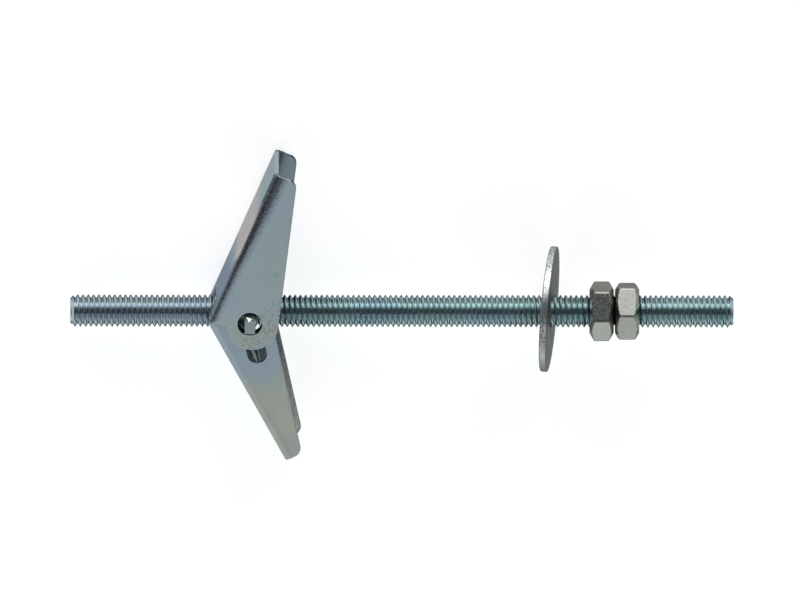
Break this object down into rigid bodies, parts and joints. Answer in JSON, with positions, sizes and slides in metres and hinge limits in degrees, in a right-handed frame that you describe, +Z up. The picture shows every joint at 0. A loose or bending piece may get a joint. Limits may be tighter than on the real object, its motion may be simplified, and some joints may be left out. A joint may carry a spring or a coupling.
{
  "type": "spring toggle hollow wall anchor",
  "caption": "Threaded rod with sprung folding channel wings that open behind a hollow wall, and a wide washer and jammed hex nuts that clamp from its front.",
  "frame": {"origin": "on the floor, below the middle of the anchor as it lies on its washer's rim and its outer wing's heel", "axes": "+Z up; the rod runs from the wings at -X to its free end at +X, raised 3.95 degrees; +Y towards the outer wing's tip"},
  "size_m": [0.1, 0.0462, 0.0189],
  "materials": {
    "rod_steel": "blue zinc plated, bright",
    "wing_steel": "blue zinc plated sheet, satin",
    "spring_steel": "zinc plated wire",
    "washer_steel": "zinc plated, satin",
    "nut_steel": "zinc plated, satin"
  },
  "bodies": {
    "rod": {"threaded_rod": "rod_steel"},
    "toggle": {"trunnion_nut": "wing_steel", "torsion_spring": "spring_steel"},
    "outer_wing": {"outer_wing": "wing_steel"},
    "inner_wing": {"inner_wing": "wing_steel"},
    "washer": {"large_washer": "washer_steel"},
    "inner_nut": {"inner_nut": "nut_steel"},
    "outer_nut": {"outer_nut": "nut_steel"}
  },
  "joints": [
    {"name": "toggle_travel", "type": "slide", "parent": "rod", "child": "toggle", "axis": [-0.9976, 0, -0.0689], "range_m": [-0.035, 0.0235]},
    {"name": "outer_wing_fold", "type": "hinge", "parent": "toggle", "child": "outer_wing", "pos_m": [-0.02285, -0.00079, 0.00633], "axis": [0.0689, 0, -0.9976], "range_deg": [0, 72], "stiffness_Nm_per_rad": 0.004, "springref_deg": -57.3, "deforming": ["torsion_spring"]},
    {"name": "inner_wing_fold", "type": "hinge", "parent": "toggle", "child": "inner_wing", "pos_m": [-0.02285, -0.00079, 0.00633], "axis": [-0.0689, 0, 0.9976], "range_deg": [0, 67], "stiffness_Nm_per_rad": 0.004, "springref_deg": -57.3},
    {"name": "washer_travel", "type": "slide", "parent": "rod", "child": "washer", "axis": [-0.9976, 0, -0.0689], "range_m": [-0.0034, 0.0345]},
    {"name": "inner_nut_travel", "type": "slide", "parent": "rod", "child": "inner_nut", "axis": [-0.9976, 0, -0.0689], "range_m": [-0.00015, 0.0046]},
    {"name": "outer_nut_travel", "type": "slide", "parent": "rod", "child": "outer_nut", "axis": [-0.9976, 0, -0.0689], "range_m": [-0.0142, 0.00015]}
  ]
}
